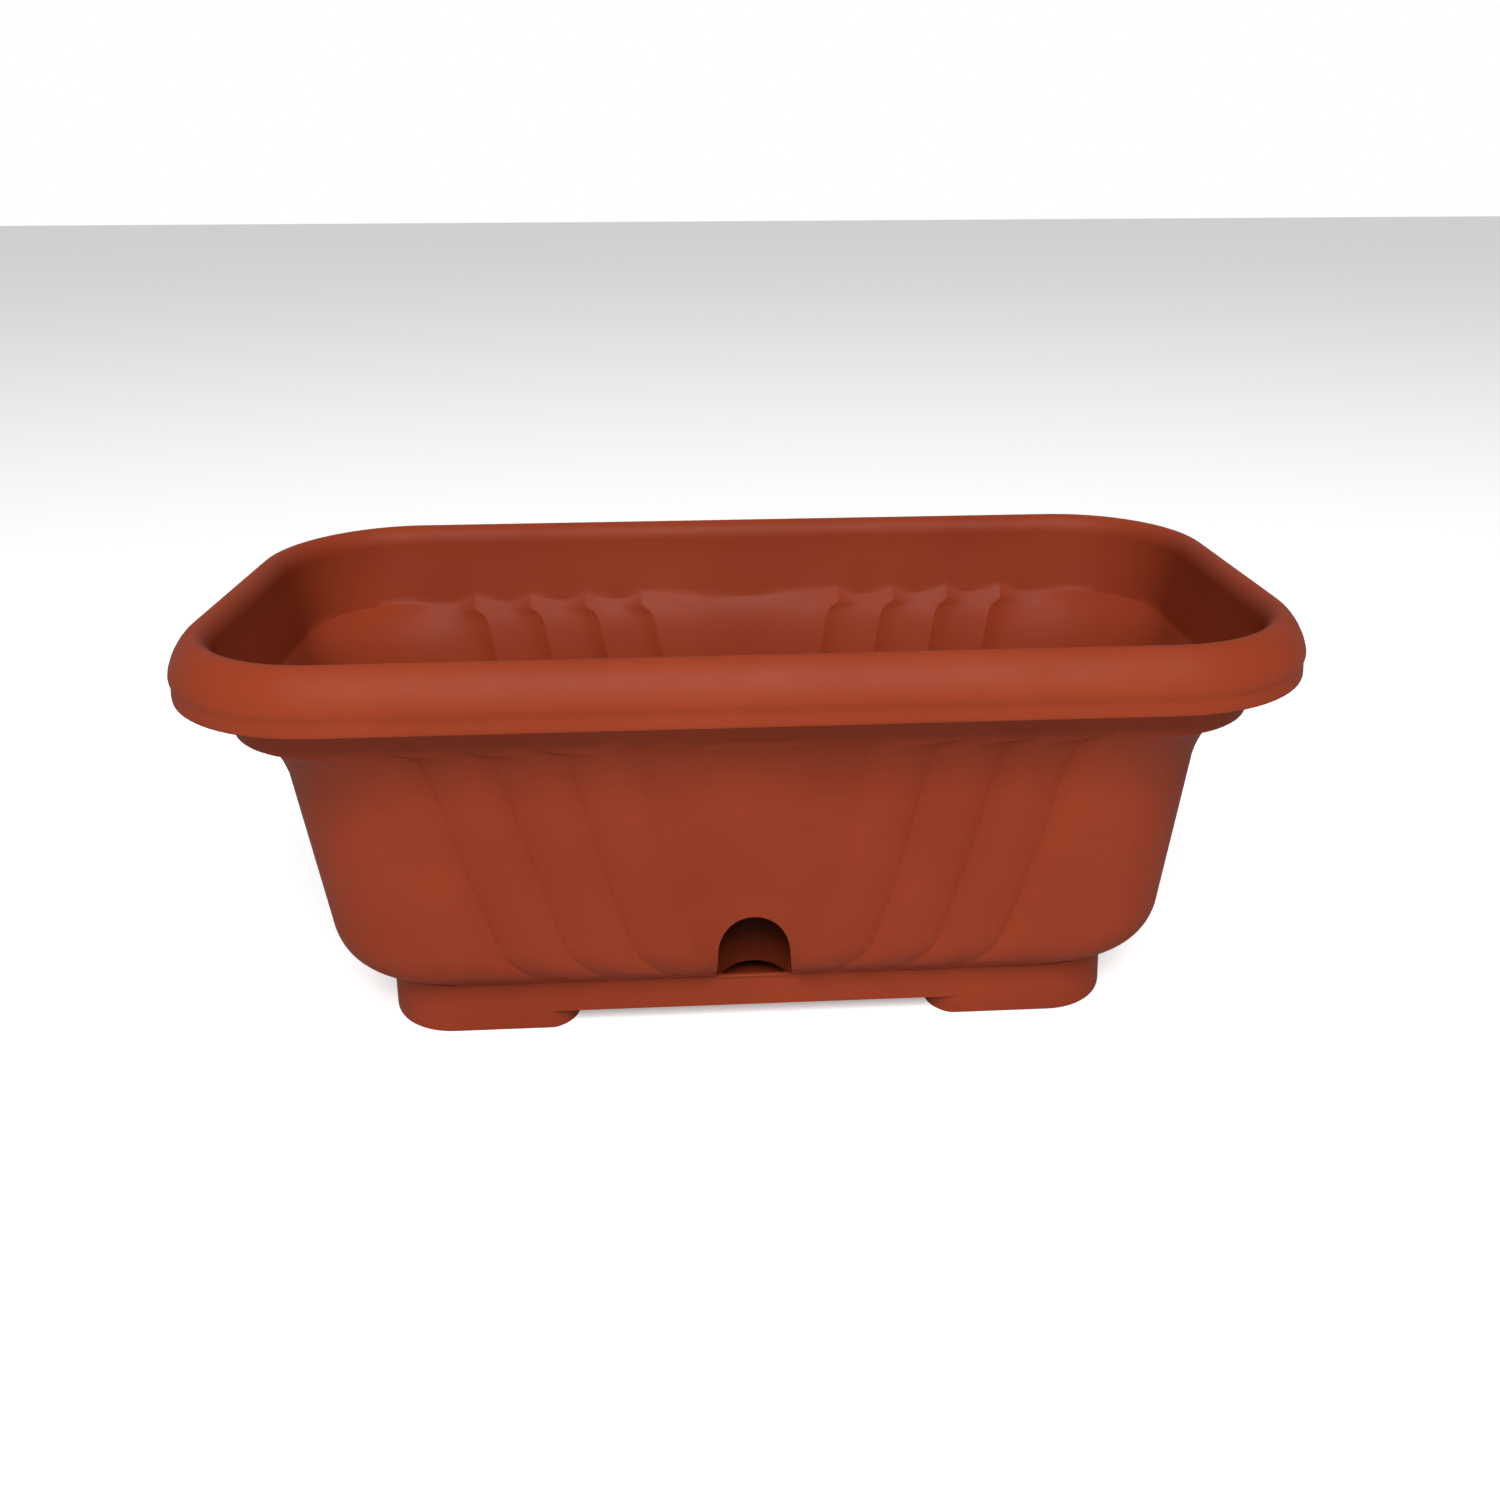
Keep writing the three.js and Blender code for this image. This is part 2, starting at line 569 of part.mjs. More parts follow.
function cup() {
  const flangeZ = FLOOR_TOP_Z + GAP;
  const flangeTop = flangeZ + CUP_FLANGE;
  const profile = [
    [0, CUP_BOTTOM_Z],
    [CUP_FOOT_RADIUS, CUP_BOTTOM_Z],
    [CUP_TOP_RADIUS, flangeZ],
    [CUP_FLANGE_RADIUS, flangeZ],
    [CUP_FLANGE_RADIUS, flangeTop],
    [CUP_TOP_RADIUS - CUP_WALL, flangeTop],
    [CUP_FOOT_RADIUS - CUP_WALL, CUP_BOTTOM_Z + CUP_WALL],
    [0, CUP_BOTTOM_Z + CUP_WALL],
  ].map(([r, z]) => new THREE.Vector2(r, z));
  let body = solidOf(new THREE.LatheGeometry(profile, ROUND_SEGMENTS).rotateX(Math.PI / 2));
  const slotBottom = CUP_BOTTOM_Z + CUP_WALL + CUP_SLOT_FOOT;
  const slotTop = flangeZ - CUP_SLOT_HEAD;
  const across = 2 * (CUP_TOP_RADIUS + CORE_MARGIN);
  for (let k = 0; k < CUP_SLOTS / 2; k++) {
    const slot = new THREE.BoxGeometry(across, CUP_SLOT_WIDTH, slotTop - slotBottom);
    slot.translate(0, 0, (slotTop + slotBottom) / 2);
    slot.rotateZ(((k + 0.5) * 2 * Math.PI) / CUP_SLOTS);
    body = body.subtract(solidOf(slot));
  }
  const holes = [[0, 0]];
  for (let k = 0; k < CUP_HOLES; k++) {
    const turn = (k / CUP_HOLES) * 2 * Math.PI;
    holes.push([CUP_HOLE_CIRCLE * Math.cos(turn), CUP_HOLE_CIRCLE * Math.sin(turn)]);
  }
  const [low, high] = [CUP_BOTTOM_Z - CUP_WALL, CUP_BOTTOM_Z + 2 * CUP_WALL];
  for (const [x, y] of holes)
    body = body.subtract(cylinder(CUP_DRAIN_RADIUS, low, high, x, y, HOLE_SEGMENTS));
  return geometryOf(body);
}

// ---- Assembly ----

function piece(name, geometry, color) {
  const material = new THREE.MeshStandardMaterial({ color, roughness: 0.55, metalness: 0 });
  const mesh = new THREE.Mesh(geometry, material);
  mesh.name = name;
  return mesh;
}

const planter = new THREE.Group();
planter.add(piece("planter_tub", tub(), TERRACOTTA));
planter.add(piece("water_tray", tray(), TERRACOTTA));
for (const [name, x] of [
  ["wick_cup_left", -CUP_X],
  ["wick_cup_right", CUP_X],
]) {
  const mesh = piece(name, cup(), TERRACOTTA_DARK);
  mesh.position.x = x;
  planter.add(mesh);
}

export default planter;
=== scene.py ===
# Self watering planter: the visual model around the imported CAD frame, in metres.
# Every piece is a moulded plastic skin lofted through rings, and cut where the real mould has cores.
# X runs along the planter, -Y is the front with the fill port, and the ground is z = 0.
import math

import bpy
import numpy as np
from mathutils import Matrix, Vector


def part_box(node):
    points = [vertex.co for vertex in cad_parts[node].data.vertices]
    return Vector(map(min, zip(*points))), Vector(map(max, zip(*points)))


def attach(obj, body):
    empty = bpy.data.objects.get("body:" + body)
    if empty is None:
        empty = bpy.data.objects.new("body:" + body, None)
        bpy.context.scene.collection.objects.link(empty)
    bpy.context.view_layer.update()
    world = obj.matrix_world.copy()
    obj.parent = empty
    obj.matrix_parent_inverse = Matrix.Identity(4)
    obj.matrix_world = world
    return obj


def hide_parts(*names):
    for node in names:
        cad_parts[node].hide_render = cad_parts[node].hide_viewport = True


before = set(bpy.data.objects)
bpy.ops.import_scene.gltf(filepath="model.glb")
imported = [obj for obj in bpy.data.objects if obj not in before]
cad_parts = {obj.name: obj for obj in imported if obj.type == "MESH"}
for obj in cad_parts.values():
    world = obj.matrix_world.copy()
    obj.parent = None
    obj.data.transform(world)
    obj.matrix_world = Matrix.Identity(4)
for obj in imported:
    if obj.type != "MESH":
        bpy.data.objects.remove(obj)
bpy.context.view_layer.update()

# ---- Sizes taken from the frame ----
MM = 0.001
tub_low, tub_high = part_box("planter_tub")
_, tray_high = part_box("water_tray")
cup_low, cup_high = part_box("wick_cup_right")
HALF_LENGTH = tub_high.x
HALF_WIDTH = tub_high.y
TOP_Z = tub_high.z
SKIRT_Z = tub_low.z
TRAY_TOP_Z = tray_high.z
TRAY_TOP_INSET = HALF_LENGTH - tray_high.x
CUP_X = (cup_low.x + cup_high.x) / 2
CUP_BOTTOM_Z = cup_low.z
CUP_FLANGE_TOP_Z = cup_high.z
CUP_FLANGE_RADIUS = (cup_high.x - cup_low.x) / 2

# ---- Moulded form, in metres, measured inwards from the plan outline ----
WALL = 2.2 * MM
GAP = 0.3 * MM

RIM_RADIUS = 60.8 * MM
RIM_BOTTOM_Z = 150.8 * MM
RIM_LIP = 0.5 * MM  # round on the outer side of the bottom edge
RIM_LIP_INSIDE = 0.4 * MM  # round on its inner side
RIM_INSIDE_FOOT = 1 * MM  # the hollow's wall is plain above this height over the bottom edge
RIM_SKIRT_FOOT = 1.2 * MM  # the waist begins this far above the bottom edge
RIM_WAIST_Z = 155.5 * MM
RIM_WAIST = 0.35 * MM
RIM_SPRING_Z = 158.5 * MM
CROWN_INSET = 9.5 * MM
CROWN_POWER = 1.4
BAND_TOP_Z = 163.4 * MM
BAND_TOP_INSET = 15.2 * MM
BAND_FOOT_INSET = 19.4 * MM

NECK_Z = 136 * MM
NECK_RADIUS = 44 * MM
LEDGE_RISE = 3.9 * MM  # inside, the wave lies this much higher than outside
LEDGE_LIFT = 2.8 * MM  # inside, the flare ends this much higher than outside
NECK_EASE = 0.4  # the wave dies out over this share of the neck
FLARE_POWER = 2.3
WALL_TOP_Z = 111.5 * MM
WALL_TOP_INSET = 25.6 * MM
WALL_TOP_RADIUS = 59.8 * MM
WALL_FOOT_Z = 46.7 * MM
WALL_FOOT_INSET = 35.4 * MM
WALL_FOOT_RADIUS = 38.9 * MM
BELLY_Z = 31 * MM
SHOULDER_Z = 131 * MM
RING_Z = 25 * MM
RING_INSET = 50.5 * MM
RING_RADIUS = 35 * MM
FLOOR_TOP_Z = RING_Z + WALL
FLOOR_FILLET = 1.6 * MM
SKIRT_INSET = 55.3 * MM
SKIRT_EDGE = 0.5 * MM
SKIRT_FILLET = ((1.2, 0), (0.2, 0.4), (0, 1.4))  # under the floor: run inwards and depth, mm
TUB_FOOT_EDGE = ((1.6, 0), (1.0, 0.15), (0.5, 0.5), (0.15, 1.1))  # run inwards and rise, mm
TUB_FOOT_BULGE = 0.1 * MM  # over the edge, the tub stands out by this
TUB_FOOT_BULGE_DEPTH = 0.2 * MM  # this far under the rounded bottom's lowest line

GROOVES = 4
GROOVE_FIRST = 21.3 * MM
GROOVE_PITCH = 24.6 * MM
GROOVE_LEAN = 0.205
GROOVE_BOW = 1.1 * MM
GROOVE_HOOK = 9 * MM
GROOVE_HOOK_Z = 126 * MM
GROOVE_HOOK_POWER = 5
GROOVE_HOOK_INSIDE = 0.5
GROOVE_SWEEP = 14 * MM
GROOVE_NEAREST = 16.5 * MM
GROOVE_DEPTH = 2.7 * MM
GROOVE_WAVE = 2.1 * MM
NECK_DEPTH_SHARE = 0.6
LOBE_CREST = 0.4
LOBE_POWER = 0.9
PANEL_RUNOUT = 10 * MM

# Mesh columns, as shares of the way from crease to crease, closer together near the creases
PANEL_COLUMNS = (0, 0.2, 0.4, 0.55, 0.68, 0.78, 0.86, 0.92, 0.96, 0.985, 1)
LOBE_COLUMNS = (0.03, 0.07, 0.12, 0.18, 0.25, 0.33, 0.41, 0.5, 0.6, 0.7, 0.8, 0.88, 0.94, 0.98, 1)
RUNOUT_COLUMNS = (0.04, 0.1, 0.18, 0.28, 0.4, 0.55, 0.72, 0.9)
END_COLUMNS = (0.34, 0.67, 1)
CORNER_COLUMNS = 20
CORNER_MARGIN = 1 * MM  # the corner's columns start this far past the run-out
CORNER_SPACING = 1.2 * MM  # and are at least this far apart

PORT_HALF_WIDTH = 15.1 * MM
PORT_SPRING_HALF_WIDTH = 13.75 * MM
PORT_SPRING_Z = 41 * MM
PORT_TOP_Z = 60.7 * MM
PORT_REACH = 30 * MM
POCKET_Y = -53 * MM
POCKET_DEPTH = 18.2 * MM
POCKET_BOTTOM_Z = 21 * MM
POCKET_HEADROOM = 10 * MM  # the pocket's block stands this much higher than the arch
POCKET_SHORTER = 1 * MM  # and ends this far behind the arch's front
POCKET_DROP = 3 * MM  # its hollow reaches this far below the skirt
ENVELOPE_TOP_Z = 95 * MM  # the pocket's walls are trimmed to the tub's form up to this height
PORT_MIDDLE_Y = -52 * MM  # the port's inside lies round this point
PORT_MIDDLE_Z = 40 * MM
PORT_SHADE_FULL = 26 * MM  # the port's painted shade is full this near to that point
PORT_SHADE_NONE = 34 * MM  # and gone this far from it

CUP_HOLE_RADIUS = 22.6 * MM
DRAIN_RADIUS = 3 * MM
DRAIN_X = [x * MM for x in (-62, -32, 32, 62)]
DRAIN_Y = [y * MM for y in (-26, 26)]

TRAY_TOP_RADIUS = 34 * MM
TRAY_SAG = 0.6 * MM
TRAY_LIP = 0.45 * MM  # round of the bead along the lip
TRAY_BEAD_FOOT = ((0.45, 2.6), (0.4, 1.9))  # inset and depth under the lip, where the bead begins, mm
TRAY_LIP_EASE = 0.35 * MM  # inside, the lip opens by this
TRAY_LIP_DEPTH = 0.4 * MM  # over this height
OPEN_TOP = 0.01 * MM  # a hollow reaches this far past the face that it opens
HOLLOW_FILLET = ((2, 0), (0.6, 0.5), (0, 2))  # along the raised middle: run inwards and rise, mm
TRAY_FOOT_INSET = 52.9 * MM
TRAY_FOOT_RADIUS = 27.4 * MM
TRAY_EDGE = 1.5 * MM
FOOT_INNER_X = 71 * MM
FOOT_CORNER = 14 * MM
TRAY_STEP_Z = 8.5 * MM
TRAY_CORNER_STEPS = 16
FOOT_CORNER_STEPS = 14
WELL_FILLET = 1.5 * MM
WELL_FILLET_EASE = 0.4 * MM
WELL_OVERLAP = 1 * MM  # a well's core reaches this far into the hollow above it
ARCHWAY_REACH = 60 * MM  # from the middle to the front and back, past the tray
ARCHWAY_SKIN = 0.02 * MM  # the feet's ends start this far outside the tray's face
ARCHWAY_DROP = 2 * MM  # below the ground

CUP_TOP_RADIUS = 22 * MM
CUP_FOOT_RADIUS = 18 * MM
CUP_WALL = 1.8 * MM
CUP_FILLET = 1.2 * MM  # rounds along the foot
CUP_MOUTH = 1.4 * MM  # round into the mouth
CUP_MOUTH_EASE = 0.4 * MM
CUP_EDGE = 0.6 * MM  # rounds along the flange
CUP_EASE = 0.3 * MM
CUP_SLOTS = 8
CUP_SLOT_WIDTH = 3 * MM
CUP_SLOT_FOOT = 2 * MM  # solid height under the slots, above the cup's floor
CUP_SLOT_HEAD = 5 * MM  # solid height over the slots, under the flange
CUP_SLOT_FROM = 11 * MM  # a slot's core runs between these distances from the cup's axis
CUP_SLOT_TO = 30 * MM
CUP_HOLES = 6  # in a circle round the middle one
CUP_HOLE_CIRCLE = 10 * MM
CUP_DRAIN_RADIUS = 1.8 * MM
CUP_DRAIN_MARGIN = 1 * MM

CORE_MARGIN = 4 * MM  # a core reaches this far past the faces that it cuts
ARCH_SEGMENTS = 48
ROUND_SEGMENTS = 96
DRAIN_SEGMENTS = 32
CUP_DRAIN_SEGMENTS = 24


def mix(a, b, t):
    return a + (b - a) * t


def clamp01(t):
    return np.clip(t, 0.0, 1.0)


# ---- Camera, light and floor ----
CAMERA_AT = Vector((-0.0110, -0.4759, 0.3096))
CAMERA_YAW = math.radians(3.17)
CAMERA_PITCH = math.radians(-23.88)
CAMERA_ROLL = math.radians(-0.285)
CAMERA_SENSOR = 36.0
CAMERA_LENS = 30.72
CAMERA_SHIFT_X = -0.0231


def make_camera():
    """The camera of the picture, looking down at the front from just left of the middle."""
    ahead = Vector(
        (
            math.sin(CAMERA_YAW) * math.cos(CAMERA_PITCH),
            math.cos(CAMERA_YAW) * math.cos(CAMERA_PITCH),
            math.sin(CAMERA_PITCH),
        )
    )
    level = ahead.cross(Vector((0, 0, 1))).normalized()
    over = level.cross(ahead)
    right = level * math.cos(CAMERA_ROLL) + over * math.sin(CAMERA_ROLL)
    up = over * math.cos(CAMERA_ROLL) - level * math.sin(CAMERA_ROLL)
    data = bpy.data.cameras.new("camera")
    data.sensor_width = CAMERA_SENSOR
    data.lens = CAMERA_LENS
    data.shift_x = CAMERA_SHIFT_X
    data.clip_start = 0.01
    camera = bpy.data.objects.new("camera", data)
    camera.matrix_world = Matrix(
        (
            (right.x, up.x, -ahead.x, CAMERA_AT.x),
            (right.y, up.y, -ahead.y, CAMERA_AT.y),
            (right.z, up.z, -ahead.z, CAMERA_AT.z),
            (0, 0, 0, 1),
        )
    )
    bpy.context.scene.collection.objects.link(camera)
    bpy.context.scene.camera = camera


def area_light(name, place, target, size, power):
    """A rectangular light at place that points at target: metres and watts."""
    data = bpy.data.lights.new(name, "AREA")
    data.shape = "RECTANGLE"
    data.size, data.size_y = size
    data.energy = power
    light = bpy.data.objects.new(name, data)
    light.location = place
    light.rotation_euler = (Vector(target) - Vector(place)).to_track_quat("-Z", "Y").to_euler()
    bpy.context.scene.collection.objects.link(light)


def new_node(tree, kind, inputs, **settings):
    """A shader node. Each input is a number, a colour or another node's output."""
    node = tree.nodes.new("ShaderNode" + kind)
    for name, setting in settings.items():
        setattr(node, name, setting)
    for key, value in inputs.items():
        if isinstance(value, bpy.types.NodeSocket):
            tree.links.new(value, node.inputs[key])
        else:
            node.inputs[key].default_value = value
    return node


def math_node(tree, operation, first, second):
    return new_node(tree, "Math", {0: first, 1: second}, operation=operation).outputs["Value"]


def map_range(tree, value, source, target, curve="LINEAR"):
    """value, moved from the range source to the range target and held within it."""
    ends = {"From Min": source[0], "From Max": source[1], "To Min": target[0], "To Max": target[1]}
    node = new_node(tree, "MapRange", {"Value": value, **ends}, interpolation_type=curve)
    return node.outputs["Result"]


def mix_colors(tree, share, start, end):
    """The colour start where share is 0, and the colour end where it is 1."""
    return new_node(tree, "Mix", {0: share, 6: start, 7: end}, data_type="RGBA").outputs[2]


def camera_only(tree, level):
    """An output that is level for what the camera sees, and 0 for the light that falls on things."""
    seen = new_node(tree, "LightPath", {}).outputs["Is Camera Ray"]
    return math_node(tree, "MULTIPLY", seen, level)


def make_lights():
    """A wide soft box over the camera, a weak low light on the left, and a dim room with a white backdrop."""
    area_light("soft_box", place=(0, -1.95, 2.1), target=(0, 0, 0.09), size=(2.0, 1.1), power=94)
    area_light(
        "low_left", place=(-0.95, -0.75, 0.12), target=(-0.12, -0.07, 0.08), size=(0.3, 0.3), power=0.4
    )
    world = bpy.data.worlds.new("room")
    world.use_nodes = True
    tree = world.node_tree
    way = new_node(tree, "TexCoord", {}).outputs["Generated"]
    split = new_node(tree, "SeparateXYZ", {"Vector": way})
    towards_back = map_range(tree, split.outputs["Y"], (-0.3, 0.8), (0.1, 0.3), "SMOOTHSTEP")
    upwards = map_range(tree, split.outputs["Z"], (0.1, 0.5), (1.0, 1.6), "SMOOTHSTEP")
    room = math_node(tree, "MULTIPLY", towards_back, upwards)
    strength = math_node(tree, "MAXIMUM", room, camera_only(tree, 1.0))
    background = tree.nodes["Background"]
    background.inputs["Color"].default_value = (1, 1, 1, 1)
    tree.links.new(strength, background.inputs["Strength"])
    bpy.context.scene.world = world


def make_floor():
    """A plain pale floor, with a faint glow for the camera that keeps its shadows light."""
    half = 12.0
    corners = [(-half, -half, 0), (half, -half, 0), (half, half, 0), (-half, half, 0)]
    floor = new_piece("floor", corners, [(0, 1, 2, 3)])
    material = bpy.data.materials.new("pale_floor")
    material.use_nodes = True
    shader = material.node_tree.nodes["Principled BSDF"]
    shader.inputs["Base Color"].default_value = (0.85, 0.85, 0.85, 1)
    shader.inputs["Roughness"].default_value = 1.0
    shader.inputs["Specular IOR Level"].default_value = 0.0
    shader.inputs["Emission Color"].default_value = (1, 1, 1, 1)
    glow = camera_only(material.node_tree, 0.4)
    material.node_tree.links.new(glow, shader.inputs["Emission Strength"])
    floor.data.materials.append(material)
    floor.visible_glossy = False


# ---- Mesh building ----
def new_piece(name, points, faces):
    """An object at the origin with these points and faces."""
    mesh = bpy.data.meshes.new(name)
    mesh.from_pydata([tuple(p) for p in points], [], faces)
    mesh.update()
    piece = bpy.data.objects.new(name, mesh)
    bpy.context.scene.collection.objects.link(piece)
    return piece


def loft(name, rings):
    """A closed skin through rings of equal count, in path order, with a flat cap at each end."""
    count = len(rings[0])
    points = np.concatenate(rings)
    step = np.arange(count)
    after = (step + 1) % count
    faces = []
    for row in range(len(rings) - 1):
        low, high = row * count, (row + 1) * count
        quads = np.stack([low + step, low + after, high + after, high + step], axis=1)
        faces.extend(quads.tolist())
    faces.append(list(range(count - 1, -1, -1)))
    faces.append(list(range(len(points) - count, len(points))))
    return new_piece(name, points, faces)


def join(name, pieces):
    """Several closed meshes as one object."""
    points, faces = [], []
    for piece in pieces:
        base = len(points)
        points.extend(v.co[:] for v in piece.data.vertices)
        faces.extend([base + v for v in p.vertices] for p in piece.data.polygons)
        bpy.data.objects.remove(piece)
    return new_piece(name, points, faces)


def boolean(piece, tool, operation):
    """Joins or cuts piece with tool, keeps the result as piece's mesh and removes the tool."""
    modifier = piece.modifiers.new("cut", "BOOLEAN")
    modifier.operation = operation
    modifier.object = tool
    modifier.solver = "EXACT"
    depsgraph = bpy.context.evaluated_depsgraph_get()
    mesh = bpy.data.meshes.new_from_object(piece.evaluated_get(depsgraph))
    piece.modifiers.clear()
    piece.data = mesh
    bpy.data.objects.remove(tool)
    return piece


def extrusion(name, outline, low, high):
    """An outline in X and Y, anticlockwise, pushed up from low to high."""
    rings = [np.array([(x, y, z) for x, y in outline]) for z in (low, high)]
    return loft(name, rings)


def disc_outline(radius, x, y, segments):
    """Points round a circle about (x, y), anticlockwise."""
    turns = np.arange(segments) * 2 * math.pi / segments
    return [(x + radius * math.cos(t), y + radius * math.sin(t)) for t in turns]


def arc(centre, radius, start, end, steps):
    """Points along an arc, from start to end in degrees."""
    turns = np.radians(np.linspace(start, end, steps + 1))
    return [(centre[0] + radius * math.cos(t), centre[1] + radius * math.sin(t)) for t in turns]


def smooth(piece, sharp_degrees=40):
    """Smooth shading, broken where the faces meet at more than this angle."""
    piece.data.polygons.foreach_set("use_smooth", [True] * len(piece.data.polygons))
    piece.data.set_sharp_from_angle(angle=math.radians(sharp_degrees))


# ---- Tub ----
def groove_lines(z, side=0):
    """Distance of each groove from the middle at a height. side 0 is the outer face, 1 the inner."""
    lean = GROOVE_LEAN * (min(max(z, RING_Z), NECK_Z) - WALL_FOOT_Z)
    climb = clamp01((z - WALL_FOOT_Z) / (WALL_TOP_Z - WALL_FOOT_Z))
    bow = GROOVE_BOW * 4 * climb * (1 - climb)
    shoulder = clamp01((z - GROOVE_HOOK_Z) / (NECK_Z - GROOVE_HOOK_Z))
    hook = GROOVE_HOOK * mix(1, GROOVE_HOOK_INSIDE, side) * shoulder**GROOVE_HOOK_POWER
    sweep = GROOVE_SWEEP * clamp01((WALL_FOOT_Z - z) / (WALL_FOOT_Z - RING_Z)) ** 2
    lines = GROOVE_FIRST + GROOVE_PITCH * np.arange(GROOVES) + lean + bow + hook - sweep
    return np.maximum(lines, GROOVE_NEAREST)


def groove_share(distance, lines):
    """1 in the bottom of a groove and 0 on a crest or on the plain panels."""

    def flank(w):
        return 1 - math.sin(clamp01(w) * math.pi / 2) ** LOBE_POWER

    if distance <= lines[0]:
        u = distance / lines[0]
        return u * u * (3 - 2 * u)
    if distance >= lines[-1]:
        return flank((distance - lines[-1]) / PANEL_RUNOUT)
    k = int(np.searchsorted(lines, distance)) - 1
    u = (distance - lines[k]) / (lines[k + 1] - lines[k])
    return flank(u / LOBE_CREST if u < LOBE_CREST else (1 - u) / (1 - LOBE_CREST))


def level(inset, z, radius=None, dip=(0.0, 0.0), side=0):
    """One ring of the tub: inset, height, corner radius, where a full groove moves it, and its side."""
    radius = RIM_RADIUS - inset if radius is None else radius
    return {"inset": inset, "z": z, "radius": radius, "dip": dip, "side": side}


def column_distances(at):
    """Mesh columns along a quarter of the outline. They follow the grooves, so each is a crease."""
    lines = groove_lines(at["z"], at["side"])
    straight = HALF_LENGTH - at["inset"] - at["radius"]
    bend = at["radius"] * math.pi / 2
    end = straight + bend + HALF_WIDTH - at["inset"] - at["radius"]
    distances = [lines[0] * u for u in PANEL_COLUMNS]
    for k in range(GROOVES - 1):
        distances += [mix(lines[k], lines[k + 1], u) for u in LOBE_COLUMNS]
    last = lines[-1]
    distances += [last + PANEL_RUNOUT * u for u in RUNOUT_COLUMNS]
    for k in range(CORNER_COLUMNS + 1):
        soonest = last + PANEL_RUNOUT + CORNER_MARGIN + CORNER_SPACING * k
        distances.append(max(straight + bend * k / CORNER_COLUMNS, soonest))
    distances += [mix(straight + bend, end, u) for u in END_COLUMNS]
    return np.array(distances), lines, straight, bend


def ring(at):
    """One closed ring, anticlockwise from above, starting at the middle of the front."""
    distances, lines, straight, bend = column_distances(at)
    dip = at["dip"]
    dipped = dip[0] != 0 or dip[1] != 0
    share = np.array([groove_share(d, lines) if dipped else 0.0 for d in distances])
    turn = clamp01((distances - straight) / bend) * math.pi / 2
    beyond = np.maximum(0, distances - straight - bend)
    radius = at["radius"] - dip[0] * share
    x = np.minimum(distances, straight) + radius * np.sin(turn)
    y = HALF_WIDTH - at["inset"] - at["radius"] + radius * np.cos(turn) - beyond
    z = at["z"] + dip[1] * share
    quarter = np.stack([x, y, z], axis=1)
    front_right = quarter * (1, -1, 1)
    back_left = quarter * (-1, 1, 1)
    front_left = (quarter * (-1, -1, 1))[::-1]
    parts = [front_right, quarter[::-1], back_left, front_left]
    return np.concatenate([part[:-1] for part in parts])


def curve_levels(start, control, end, steps, side, power=1):
    """Levels along a quadratic curve. The corner radius changes along it with the given power."""
    levels = []
    for t in steps:
        inset = mix(mix(start[0], control[0], t), mix(control[0], end[0], t), t)
        z = mix(mix(start[1], control[1], t), mix(control[1], end[1], t), t)
        run = mix(control[0] - start[0], end[0] - control[0], t)
        rise = mix(control[1] - start[1], end[1] - control[1], t)
        length = math.hypot(run, rise)
        inward = (rise / length, -run / length)
        depth = mix(start[3], end[3], t)
        offset = side * WALL
        radius = mix(start[2], end[2], t**power) - offset * inward[0]
        dip = (depth * inward[0], depth * inward[1])
        levels.append(level(inset + offset * inward[0], z + offset * inward[1], radius, dip, side))
    return levels


WALL_SLOPE = (WALL_FOOT_INSET - WALL_TOP_INSET) / (WALL_TOP_Z - WALL_FOOT_Z)
NECK_INSET = BAND_FOOT_INSET - WALL
BOTTOM_END = (RING_INSET, RING_Z, RING_RADIUS, 0)
BELLY = (WALL_FOOT_INSET + WALL_SLOPE * (WALL_FOOT_Z - BELLY_Z), BELLY_Z)
WALL_FOOT = (WALL_FOOT_INSET, WALL_FOOT_Z, WALL_FOOT_RADIUS, GROOVE_DEPTH)
WALL_TOP = (WALL_TOP_INSET, WALL_TOP_Z, WALL_TOP_RADIUS, GROOVE_DEPTH)
SHOULDER = (WALL_TOP_INSET - WALL_SLOPE * (SHOULDER_Z - WALL_TOP_Z), SHOULDER_Z)


def wall_levels(side):
    """The fluted wall from the floor ring to just under the neck."""
    middle = tuple(mix(WALL_FOOT[k], WALL_TOP[k], 0.5) for k in range(2))
    neck = (NECK_INSET, NECK_Z + side * LEDGE_LIFT, NECK_RADIUS, GROOVE_DEPTH * NECK_DEPTH_SHARE)
    return [
        *curve_levels(BOTTOM_END, BELLY, WALL_FOOT, np.linspace(0.06, 1, 15), side),
        *curve_levels(WALL_FOOT, middle, WALL_TOP, np.linspace(0.1, 0.9, 9), side),
        *curve_levels(WALL_TOP, SHOULDER, neck, np.linspace(0, 0.96, 17), side, FLARE_POWER),
    ]


def neck_line(side):
    """The wave where the fluted flare meets the plain neck."""
    z = NECK_Z + side * LEDGE_RISE
    return level(NECK_INSET + side * WALL, z, NECK_RADIUS - side * WALL, (0, GROOVE_WAVE), side)


def neck_levels(side):
    """The plain neck above the wave, easing from the neck's corners to the rim's."""
    levels = []
    for t in (0.12, NECK_EASE, 0.7, 1.0):
        z = mix(NECK_Z + side * LEDGE_RISE, BAND_TOP_Z, t)
        inset = mix(BAND_FOOT_INSET, BAND_TOP_INSET, t) - (1 - side) * WALL
        radius = mix(NECK_RADIUS - side * WALL, RIM_RADIUS - inset, t)
        rise = GROOVE_WAVE * max(0.0, 1 - t / NECK_EASE)
        levels.append(level(inset, z, radius, (0, rise), side))
    return levels


def rim_skirt(share):
    """Inset of the rim's outer face on the way from its bottom edge over its waist to its widest line."""
    return RIM_WAIST * math.sin(math.pi * share) ** 2


